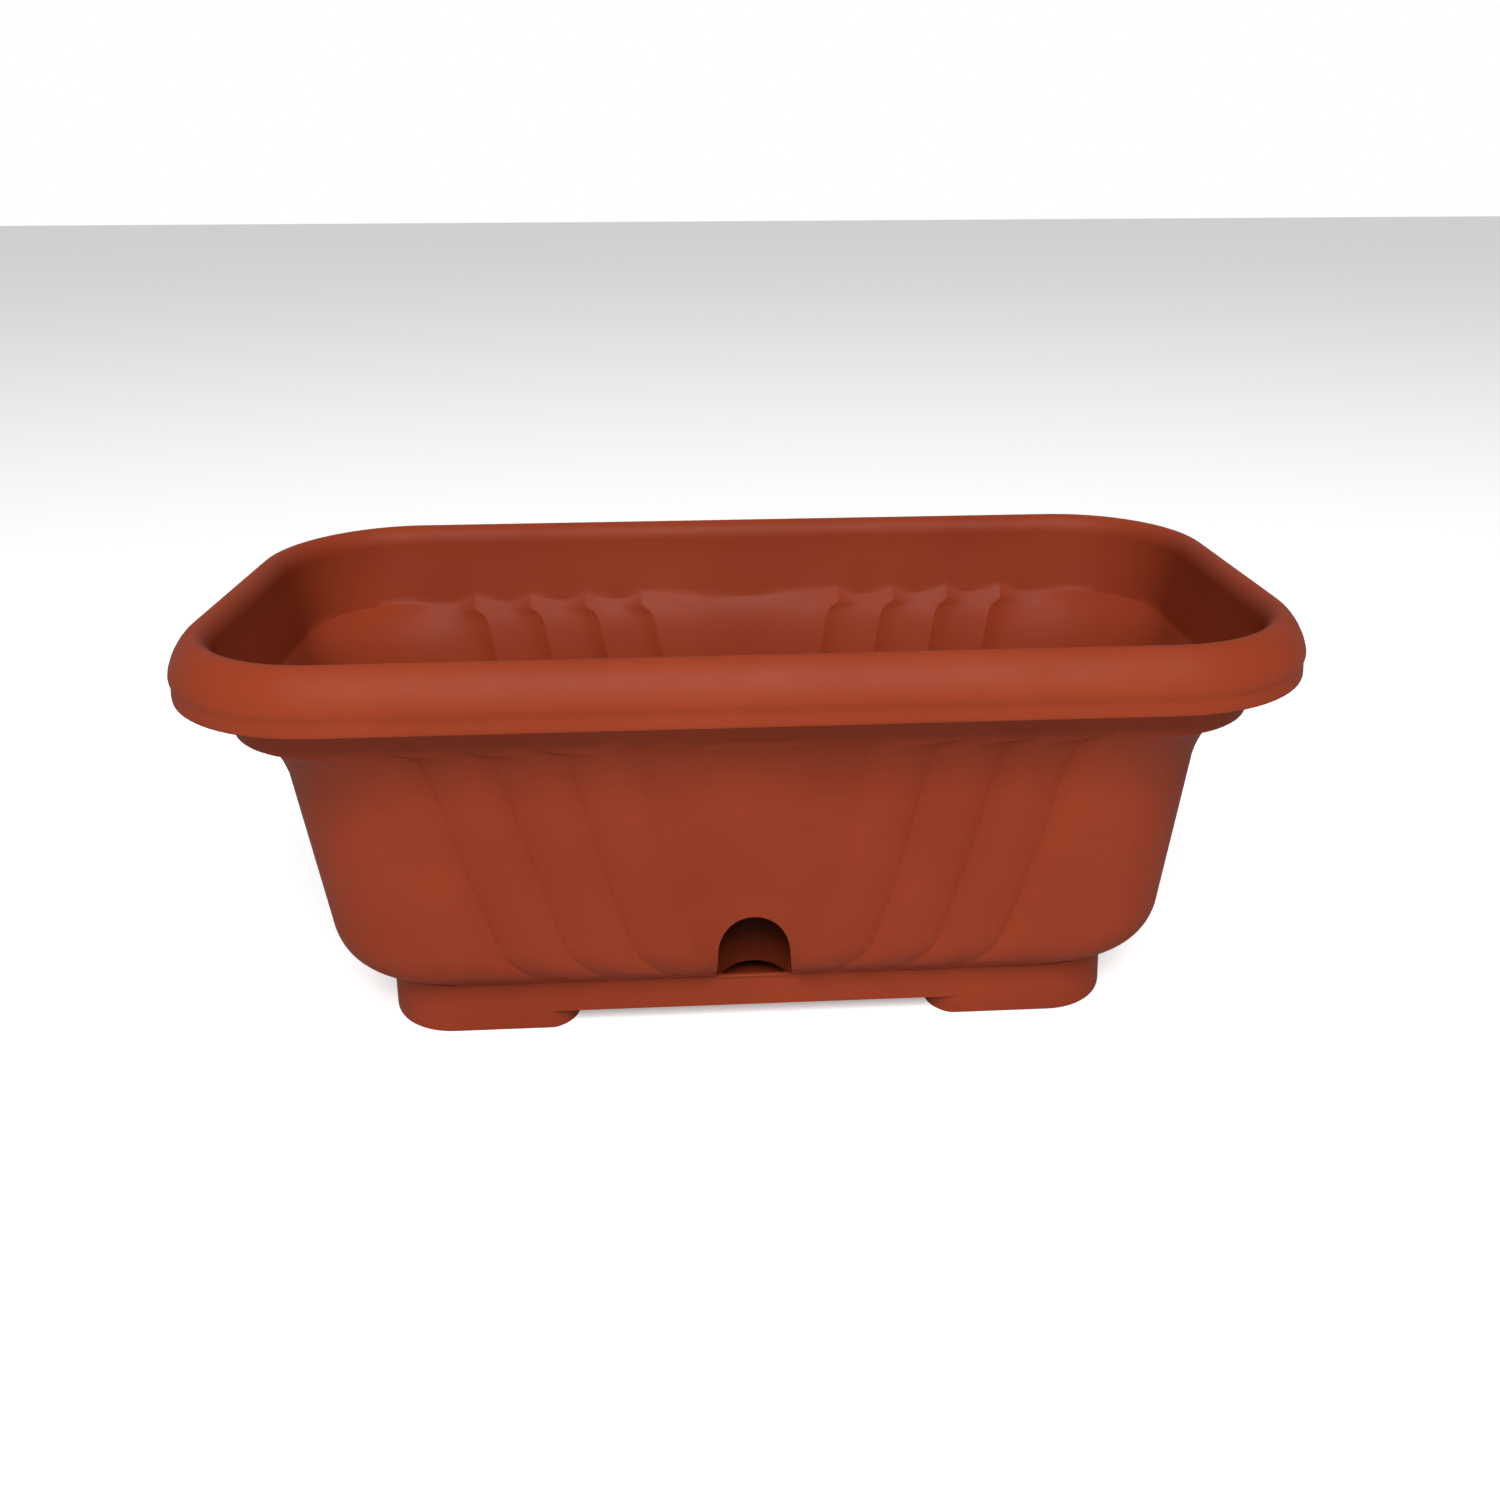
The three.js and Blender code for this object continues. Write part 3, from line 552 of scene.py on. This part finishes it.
def rim_levels():
    """The hollow roll of the rim: up inside it, down its skirt, round its lip and over the crown."""
    inner_top = TOP_Z - WALL
    levels = []
    run = CROWN_INSET - WALL
    rise = inner_top - RIM_SPRING_Z
    fall = inner_top - BAND_TOP_Z
    for turn in np.radians(np.linspace(15, 90, 5)):
        inset = BAND_TOP_INSET - WALL - (BAND_TOP_INSET - WALL - CROWN_INSET) * (1 - math.cos(turn))
        levels.append(level(inset, BAND_TOP_Z + fall * math.sin(turn)))
    for turn in np.radians(np.linspace(75, 0, 7)):
        inset = WALL + run * (1 - math.cos(turn) ** CROWN_POWER)
        levels.append(level(inset, RIM_SPRING_Z + rise * math.sin(turn) ** CROWN_POWER))
    levels.append(level(WALL, RIM_BOTTOM_Z + RIM_INSIDE_FOOT))
    for turn in np.radians((0, 45, 90)):
        z = RIM_BOTTOM_Z + RIM_LIP_INSIDE * (1 - math.sin(turn))
        levels.append(level(WALL - RIM_LIP_INSIDE * math.sin(turn), z))
    for turn in np.radians((90, 60, 30, 0)):
        z = RIM_BOTTOM_Z + RIM_LIP * (1 - math.sin(turn))
        levels.append(level(RIM_LIP * (1 - math.cos(turn)), z))
    foot = RIM_BOTTOM_Z + RIM_SKIRT_FOOT
    for share in np.linspace(0, 1, 9):
        below = mix(foot, RIM_WAIST_Z, share * 2)
        above = mix(RIM_WAIST_Z, RIM_SPRING_Z, share * 2 - 1)
        levels.append(level(rim_skirt(share), below if share < 0.5 else above))
    run = CROWN_INSET
    rise = TOP_Z - RIM_SPRING_Z
    for turn in np.radians(np.linspace(6, 90, 16)):
        inset = run * (1 - math.cos(turn) ** CROWN_POWER)
        levels.append(level(inset, RIM_SPRING_Z + rise * math.sin(turn) ** CROWN_POWER))
    fall = TOP_Z - BAND_TOP_Z
    for turn in np.radians(np.linspace(10, 90, 9)):
        inset = CROWN_INSET + (BAND_TOP_INSET - CROWN_INSET) * math.sin(turn)
        levels.append(level(inset, TOP_Z - fall * (1 - math.cos(turn))))
    return levels


def step_level(inset, z):
    """A plain ring whose corners run parallel to the bottom ring's."""
    return level(inset, z, RING_RADIUS - (inset - RING_INSET))


def underside_levels():
    """The stepped underside, from the floor over the locating skirt to the ring on the tray."""
    rest_z = TRAY_TOP_Z + GAP
    inner = SKIRT_INSET + WALL
    return [
        *[step_level(inner + run * MM, RING_Z - depth * MM) for run, depth in SKIRT_FILLET],
        step_level(inner, SKIRT_Z + SKIRT_EDGE),
        step_level(inner - SKIRT_EDGE, SKIRT_Z),
        step_level(SKIRT_INSET + SKIRT_EDGE, SKIRT_Z),
        step_level(SKIRT_INSET, SKIRT_Z + SKIRT_EDGE),
        step_level(SKIRT_INSET, rest_z),
        *[step_level(RING_INSET + run * MM, rest_z + rise * MM) for run, rise in TUB_FOOT_EDGE],
        step_level(RING_INSET - TUB_FOOT_BULGE, RING_Z - TUB_FOOT_BULGE_DEPTH),
    ]


def tub_shell():
    """The tub's whole skin in one path: underside, outer wall, rim, inner wall and floor."""
    levels = [
        *underside_levels(),
        *wall_levels(0),
        neck_line(0),
        *neck_levels(0),
        *rim_levels(),
        *neck_levels(1)[::-1][1:],
        neck_line(1),
        *wall_levels(1)[::-1],
        step_level(RING_INSET + FLOOR_FILLET, FLOOR_TOP_Z),
    ]
    return loft("planter_tub_shell", [ring(at) for at in levels])


def tub_envelope():
    """Everything inside the middle of the tub's wall thickness, up to well above the port."""
    half = WALL / 2
    wall = [at for at in wall_levels(0.5) if at["z"] < ENVELOPE_TOP_Z]
    rest_z = TRAY_TOP_Z + GAP + half
    levels = [
        step_level(SKIRT_INSET + half, SKIRT_Z),
        step_level(SKIRT_INSET + half, rest_z),
        step_level(RING_INSET + half, rest_z),
        step_level(RING_INSET + half, RING_Z),
        *wall,
    ]
    return loft("tub_envelope", [ring(at) for at in levels])


def arch_prism(offset):
    """Arch that runs front to back, grown by an offset on all sides."""
    sill = PORT_HALF_WIDTH + offset
    across = PORT_SPRING_HALF_WIDTH + offset
    rise = (PORT_TOP_Z - PORT_SPRING_Z + offset) / across
    low = SKIRT_Z - CORE_MARGIN
    outline = [(-sill, low), (sill, low), (sill, TRAY_TOP_Z)]
    outline += [(x, PORT_SPRING_Z + z * rise) for x, z in arc((0, 0), across, 0, 180, ARCH_SEGMENTS)]
    outline += [(-sill, TRAY_TOP_Z)]
    ends = (POCKET_Y + PORT_REACH, POCKET_Y - PORT_REACH)
    return loft("arch", [np.array([(x, y, z) for x, z in outline]) for y in ends])


def pocket_block(offset, low, high):
    """Upright block as wide as the sill, with a half-oval back, open in front."""
    sill = PORT_HALF_WIDTH + offset
    front = POCKET_Y - PORT_REACH + POCKET_SHORTER
    deep = (POCKET_DEPTH + offset) / sill
    half_round = arc((0, POCKET_Y), sill, 0, 180, ARCH_SEGMENTS)
    back = [(x, POCKET_Y + (y - POCKET_Y) * deep) for x, y in half_round]
    return extrusion("pocket", [(-sill, front), (sill, front)] + back, low, high)


def make_tub():
    """The skin with the port's pocket joined to it, cut by the port, the cup holes and the drain holes."""
    tub = tub_shell()
    high = PORT_TOP_Z + POCKET_HEADROOM
    pocket = pocket_block(WALL, POCKET_BOTTOM_Z, high)
    boolean(pocket, arch_prism(WALL), "INTERSECT")
    boolean(pocket, tub_envelope(), "INTERSECT")
    boolean(tub, pocket, "UNION")
    hollow = pocket_block(0, SKIRT_Z - POCKET_DROP, high)
    boolean(hollow, arch_prism(0), "INTERSECT")
    cores = [hollow]
    low, high = RING_Z - CORE_MARGIN, FLOOR_TOP_Z + CORE_MARGIN
    for x in (-CUP_X, CUP_X):
        outline = disc_outline(CUP_HOLE_RADIUS, x, 0, ROUND_SEGMENTS)
        cores.append(extrusion("core", outline, low, high))
    for x in DRAIN_X:
        for y in DRAIN_Y:
            outline = disc_outline(DRAIN_RADIUS, x, y, DRAIN_SEGMENTS)
            cores.append(extrusion("core", outline, low, high))
    boolean(tub, join("cores", cores), "DIFFERENCE")
    tub.name = "tub"
    smooth(tub)
    return tub


# ---- Water tray ----
def tray_ring(inset, radius, z):
    """A rectangle with round corners at a height, anticlockwise."""
    centre_x = HALF_LENGTH - inset - radius
    centre_y = HALF_WIDTH - inset - radius
    points = []
    for quadrant, (sx, sy) in enumerate(((1, 1), (-1, 1), (-1, -1), (1, -1))):
        centre = (sx * centre_x, sy * centre_y)
        start = 90 * quadrant
        points += [(x, y, z) for x, y in arc(centre, radius, start, start + 90, TRAY_CORNER_STEPS)]
    return np.array(points)


def tray_side(z):
    """Inset and corner radius of the tray's outer face at a height."""
    share = z / TRAY_TOP_Z
    return mix(TRAY_FOOT_INSET, TRAY_TOP_INSET, share), mix(TRAY_FOOT_RADIUS, TRAY_TOP_RADIUS, share)


def tray_level(offset, z):
    """The tray's outer face at a height, moved inwards by an offset."""
    inset, radius = tray_side(z)
    return tray_ring(inset + offset, radius - offset, z)


def sagged(points):
    """The tray's edge, pulled down a little at its corners, where the mould shrank."""
    inset, radius = tray_side(TRAY_TOP_Z)
    for point in points:
        x = max(0, abs(point[0]) - (HALF_LENGTH - inset - radius)) / radius
        y = max(0, abs(point[1]) - (HALF_WIDTH - inset - radius)) / radius
        point[2] -= TRAY_SAG * min(1, 2 * x * y)
    return points


def tray_body():
    """The tray before it is hollowed: rounded bottom edge, tapered side and a bead along the lip."""
    rings = []
    for turn in np.radians(np.linspace(90, 0, 6)):
        rings.append(tray_level(TRAY_EDGE * (1 - math.cos(turn)), TRAY_EDGE * (1 - math.sin(turn))))
    rings += [tray_level(inset * MM, TRAY_TOP_Z - depth * MM) for inset, depth in TRAY_BEAD_FOOT]
    for turn in np.radians(np.linspace(-60, 90, 7)):
        z = TRAY_TOP_Z - TRAY_LIP * (1 - math.sin(turn))
        rings.append(sagged(tray_level(TRAY_LIP * (1 - math.cos(turn)), z)))
    return loft("tray_body", rings)


def tray_hollow():
    """The water space above the raised middle, open at the top."""
    low = TRAY_STEP_Z + WALL
    rings = [tray_level(WALL + run * MM, low + rise * MM) for run, rise in HOLLOW_FILLET]
    rings.append(tray_level(WALL, TRAY_TOP_Z - TRAY_LIP_DEPTH))
    rings.append(tray_level(WALL - TRAY_LIP_EASE, TRAY_TOP_Z + OPEN_TOP))
    return loft("tray_hollow", rings)


def foot_end(side, inner_x, half_width, corner):
    """The rounded inner end of a foot's plan, from its front corner to its back corner."""
    centre_x = inner_x + corner
    front = arc((centre_x, corner - half_width), corner, 270, 180, FOOT_CORNER_STEPS)
    back = arc((centre_x, half_width - corner), corner, 180, 90, FOOT_CORNER_STEPS)
    return [(side * x, y) for x, y in front + back]


def tray_well(side):
    """The deep part of the water space over one foot."""
    rings = []
    high = TRAY_STEP_Z + WALL + WELL_OVERLAP
    rise = WELL_FILLET_EASE
    for z, shrink in ((WALL, WELL_FILLET), (WALL + rise, rise), (WALL + WELL_FILLET, 0), (high, 0)):
        inset, radius = tray_side(z)
        end_x = HALF_LENGTH - inset - WALL - shrink
        half = HALF_WIDTH - inset - WALL - shrink
        bend = radius - WALL - shrink
        outline = arc((end_x - bend, bend - half), bend, -90, 0, TRAY_CORNER_STEPS)
        outline += arc((end_x - bend, half - bend), bend, 0, 90, TRAY_CORNER_STEPS)
        inner = foot_end(1, FOOT_INNER_X + WALL + shrink, half, FOOT_CORNER - WALL)
        outline += inner[::-1]
        points = np.array([(x * side, y, z) for x, y in outline])
        rings.append(points if side > 0 else points[::-1])
    return loft("tray_well", rings)


def tray_archway():
    """The space between the feet, under the raised middle, open to the front and the back."""
    rings = []
    reach = FOOT_INNER_X + FOOT_CORNER
    for z in (-ARCHWAY_DROP, 0, TRAY_STEP_Z):
        inset, _ = tray_side(max(z, 0))
        half = HALF_WIDTH - inset + ARCHWAY_SKIN
        right = foot_end(1, FOOT_INNER_X, half, FOOT_CORNER)
        left = foot_end(-1, FOOT_INNER_X, half, FOOT_CORNER)[::-1]
        outline = [(reach, -ARCHWAY_REACH), *right, (reach, ARCHWAY_REACH)]
        outline += [(-reach, ARCHWAY_REACH), *left, (-reach, -ARCHWAY_REACH)]
        rings.append(np.array([(x, y, z) for x, y in outline]))
    return loft("tray_archway", rings)


def make_tray():
    """The tray's body, cut by the hollow, the two wells and the archway between the feet."""
    tray = tray_body()
    for tool in (tray_hollow(), tray_well(1), tray_well(-1), tray_archway()):
        boolean(tray, tool, "DIFFERENCE")
    tray.name = "tray"
    smooth(tray)
    return tray


# ---- Soil cups ----
def turned(name, profile, x):
    """A profile of (radius, height) pairs turned about the upright axis at x."""
    rings = []
    for radius, z in profile:
        outline = disc_outline(radius, x, 0, ROUND_SEGMENTS)
        rings.append(np.array([(px, py, z) for px, py in outline]))
    return loft(name, rings)


def slot_core(turn, x, low, high):
    """A round-ended upright slot through the cup's wall, in the direction turn."""
    half = CUP_SLOT_WIDTH / 2
    outline = arc((0, high - half), half, 0, 180, 8) + arc((0, low + half), half, 180, 360, 8)
    out = Vector((math.cos(turn), math.sin(turn), 0))
    along = Vector((-math.sin(turn), math.cos(turn), 0))
    rings = []
    for reach in (CUP_SLOT_FROM, CUP_SLOT_TO):
        points = [out * reach + along * a + Vector((x, 0, z)) for a, z in outline]
        rings.append(np.array([p[:] for p in points]))
    return loft("slot", rings)


def cup_profile():
    """The cup's outer side from its foot up, its flange, and its inner side down to its floor."""
    flange_z = FLOOR_TOP_Z + GAP
    top = CUP_FLANGE_TOP_Z
    floor_z = CUP_BOTTOM_Z + CUP_WALL
    mouth = CUP_TOP_RADIUS - CUP_WALL
    inside = CUP_FOOT_RADIUS - CUP_WALL
    return [
        (CUP_FOOT_RADIUS - CUP_FILLET, CUP_BOTTOM_Z),
        (CUP_FOOT_RADIUS - CUP_EASE, CUP_BOTTOM_Z + CUP_EASE),
        (CUP_FOOT_RADIUS, CUP_BOTTOM_Z + CUP_FILLET),
        (CUP_TOP_RADIUS - CUP_EASE, flange_z - CUP_EDGE),
        (CUP_TOP_RADIUS + CUP_EASE, flange_z),
        (CUP_FLANGE_RADIUS - CUP_EDGE, flange_z),
        (CUP_FLANGE_RADIUS, flange_z + CUP_EDGE),
        (CUP_FLANGE_RADIUS, top - CUP_EDGE),
        (CUP_FLANGE_RADIUS - CUP_EDGE, top),
        (mouth + CUP_MOUTH, top),
        (mouth + CUP_MOUTH_EASE, top - CUP_MOUTH_EASE),
        (mouth, top - CUP_MOUTH),
        (inside, floor_z + CUP_FILLET),
        (inside - CUP_FILLET, floor_z),
    ]


def make_cup(name, x):
    """A perforated soil cup that hangs by its flange on the tub's floor."""
    cup = turned(name, cup_profile(), x)
    floor_z = CUP_BOTTOM_Z + CUP_WALL
    low = floor_z + CUP_SLOT_FOOT
    high = FLOOR_TOP_Z + GAP - CUP_SLOT_HEAD
    cores = [slot_core((k + 0.5) * 2 * math.pi / CUP_SLOTS, x, low, high) for k in range(CUP_SLOTS)]
    low, high = CUP_BOTTOM_Z - CUP_DRAIN_MARGIN, floor_z + CUP_DRAIN_MARGIN
    for hole_x, hole_y in [(x, 0), *disc_outline(CUP_HOLE_CIRCLE, x, 0, CUP_HOLES)]:
        outline = disc_outline(CUP_DRAIN_RADIUS, hole_x, hole_y, CUP_DRAIN_SEGMENTS)
        cores.append(extrusion("hole", outline, low, high))
    boolean(cup, join("cup_cores", cores), "DIFFERENCE")
    smooth(cup)
    return cup


# ---- Material ----
PLASTIC = (0.25, 0.0355, 0.0115)
PLASTIC_ROUGHNESS = 0.5
PAINTED_SHADE_REACH = 30 * MM  # how far away another wall still counts for the painted shade in a crevice


def object_noise(tree, scale, detail):
    """Noise that is fixed to the piece. A higher scale is finer."""
    place = new_node(tree, "TexCoord", {}).outputs["Object"]
    noise = new_node(tree, "TexNoise", {"Vector": place, "Scale": scale, "Detail": detail})
    return noise.outputs["Fac"]


def clouded(tree, color):
    """The plastic's colour, drifting a little between a deeper and a paler shade."""
    deep = (color[0] * 0.93, color[1] * 0.93, color[2] * 0.93, 1)
    pale = (color[0] * 1.06, color[1] * 1.1, color[2] * 1.14, 1)
    cloud = object_noise(tree, 14, 3)
    return mix_colors(tree, map_range(tree, cloud, (0.3, 0.7), (0, 1)), deep, pale)


def port_unshaded(tree, openness):
    """1 away from the port. Inside it, less where its walls shade each other more: this darkens the colour
    there as painted shade.
    """
    place = new_node(tree, "TexCoord", {}).outputs["Object"]
    middle = (0, PORT_MIDDLE_Y, PORT_MIDDLE_Z)
    offset = new_node(tree, "VectorMath", {0: place, 1: middle}, operation="SUBTRACT").outputs["Vector"]
    distance = new_node(tree, "VectorMath", {0: offset}, operation="LENGTH").outputs["Value"]
    inside = map_range(tree, distance, (PORT_SHADE_FULL, PORT_SHADE_NONE), (1, 0))
    # painted shade: the more closed in a point inside the port, the less of the colour it keeps
    depth = map_range(tree, openness, (0.6, 0.95), (0.28, 1))
    return new_node(tree, "Mix", {0: inside, 2: 1.0, 3: depth}).outputs[0]


def with_painted_shade(tree, unshaded_color, color):
    """The given colour, going over to a near black of the plastic's hue as painted shade in crevices and
    inside the port.
    """
    painted_shade_color = (color[0] * 0.07, color[1] * 0.05, color[2] * 0.05, 1)
    # painted shade from ambient occlusion: darker where the piece's own walls close in
    crevice = new_node(tree, "AmbientOcclusion", {"Distance": PAINTED_SHADE_REACH}, samples=8, only_local=True)
    openness = crevice.outputs["AO"]
    open_share = map_range(tree, openness, (0.25, 0.7), (0, 1))
    unshaded_share = math_node(tree, "MULTIPLY", open_share, port_unshaded(tree, openness))
    return mix_colors(tree, unshaded_share, painted_shade_color, unshaded_color)


def moulded_plastic(name, color, roughness):
    """Terracotta polypropylene as it leaves a lightly textured mould, with painted shade in crevices and in
    the fill port.
    """
    material = bpy.data.materials.new(name)
    material.use_nodes = True
    tree = material.node_tree
    shader = tree.nodes["Principled BSDF"]
    uneven = (roughness - 0.05, roughness + 0.05)
    gloss = map_range(tree, object_noise(tree, 60, 3), (0.3, 0.7), uneven)
    grain = {"Strength": 0.25, "Distance": 0.1 * MM, "Height": object_noise(tree, 1800, 2)}
    bump = new_node(tree, "Bump", grain)
    tree.links.new(with_painted_shade(tree, clouded(tree, color), color), shader.inputs["Base Color"])
    tree.links.new(gloss, shader.inputs["Roughness"])
    tree.links.new(bump.outputs["Normal"], shader.inputs["Normal"])
    shader.inputs["Specular IOR Level"].default_value = 0.1
    return material


def finish_piece(piece, body, node, material):
    """Gives a piece its material and the body it rides on, and hides the CAD node it stands for."""
    piece.data.materials.clear()
    piece.data.materials.append(material)
    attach(piece, body)
    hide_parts(node)


make_camera()
make_lights()
make_floor()
terracotta = moulded_plastic("terracotta_plastic", PLASTIC, PLASTIC_ROUGHNESS)
finish_piece(make_tub(), "tub", "planter_tub", terracotta)
finish_piece(make_tray(), "tray", "water_tray", terracotta)
finish_piece(make_cup("soil_cup_left", -CUP_X), "cup_left", "wick_cup_left", terracotta)
finish_piece(make_cup("soil_cup_right", CUP_X), "cup_right", "wick_cup_right", terracotta)
bpy.context.scene.view_settings.view_transform = "Standard"
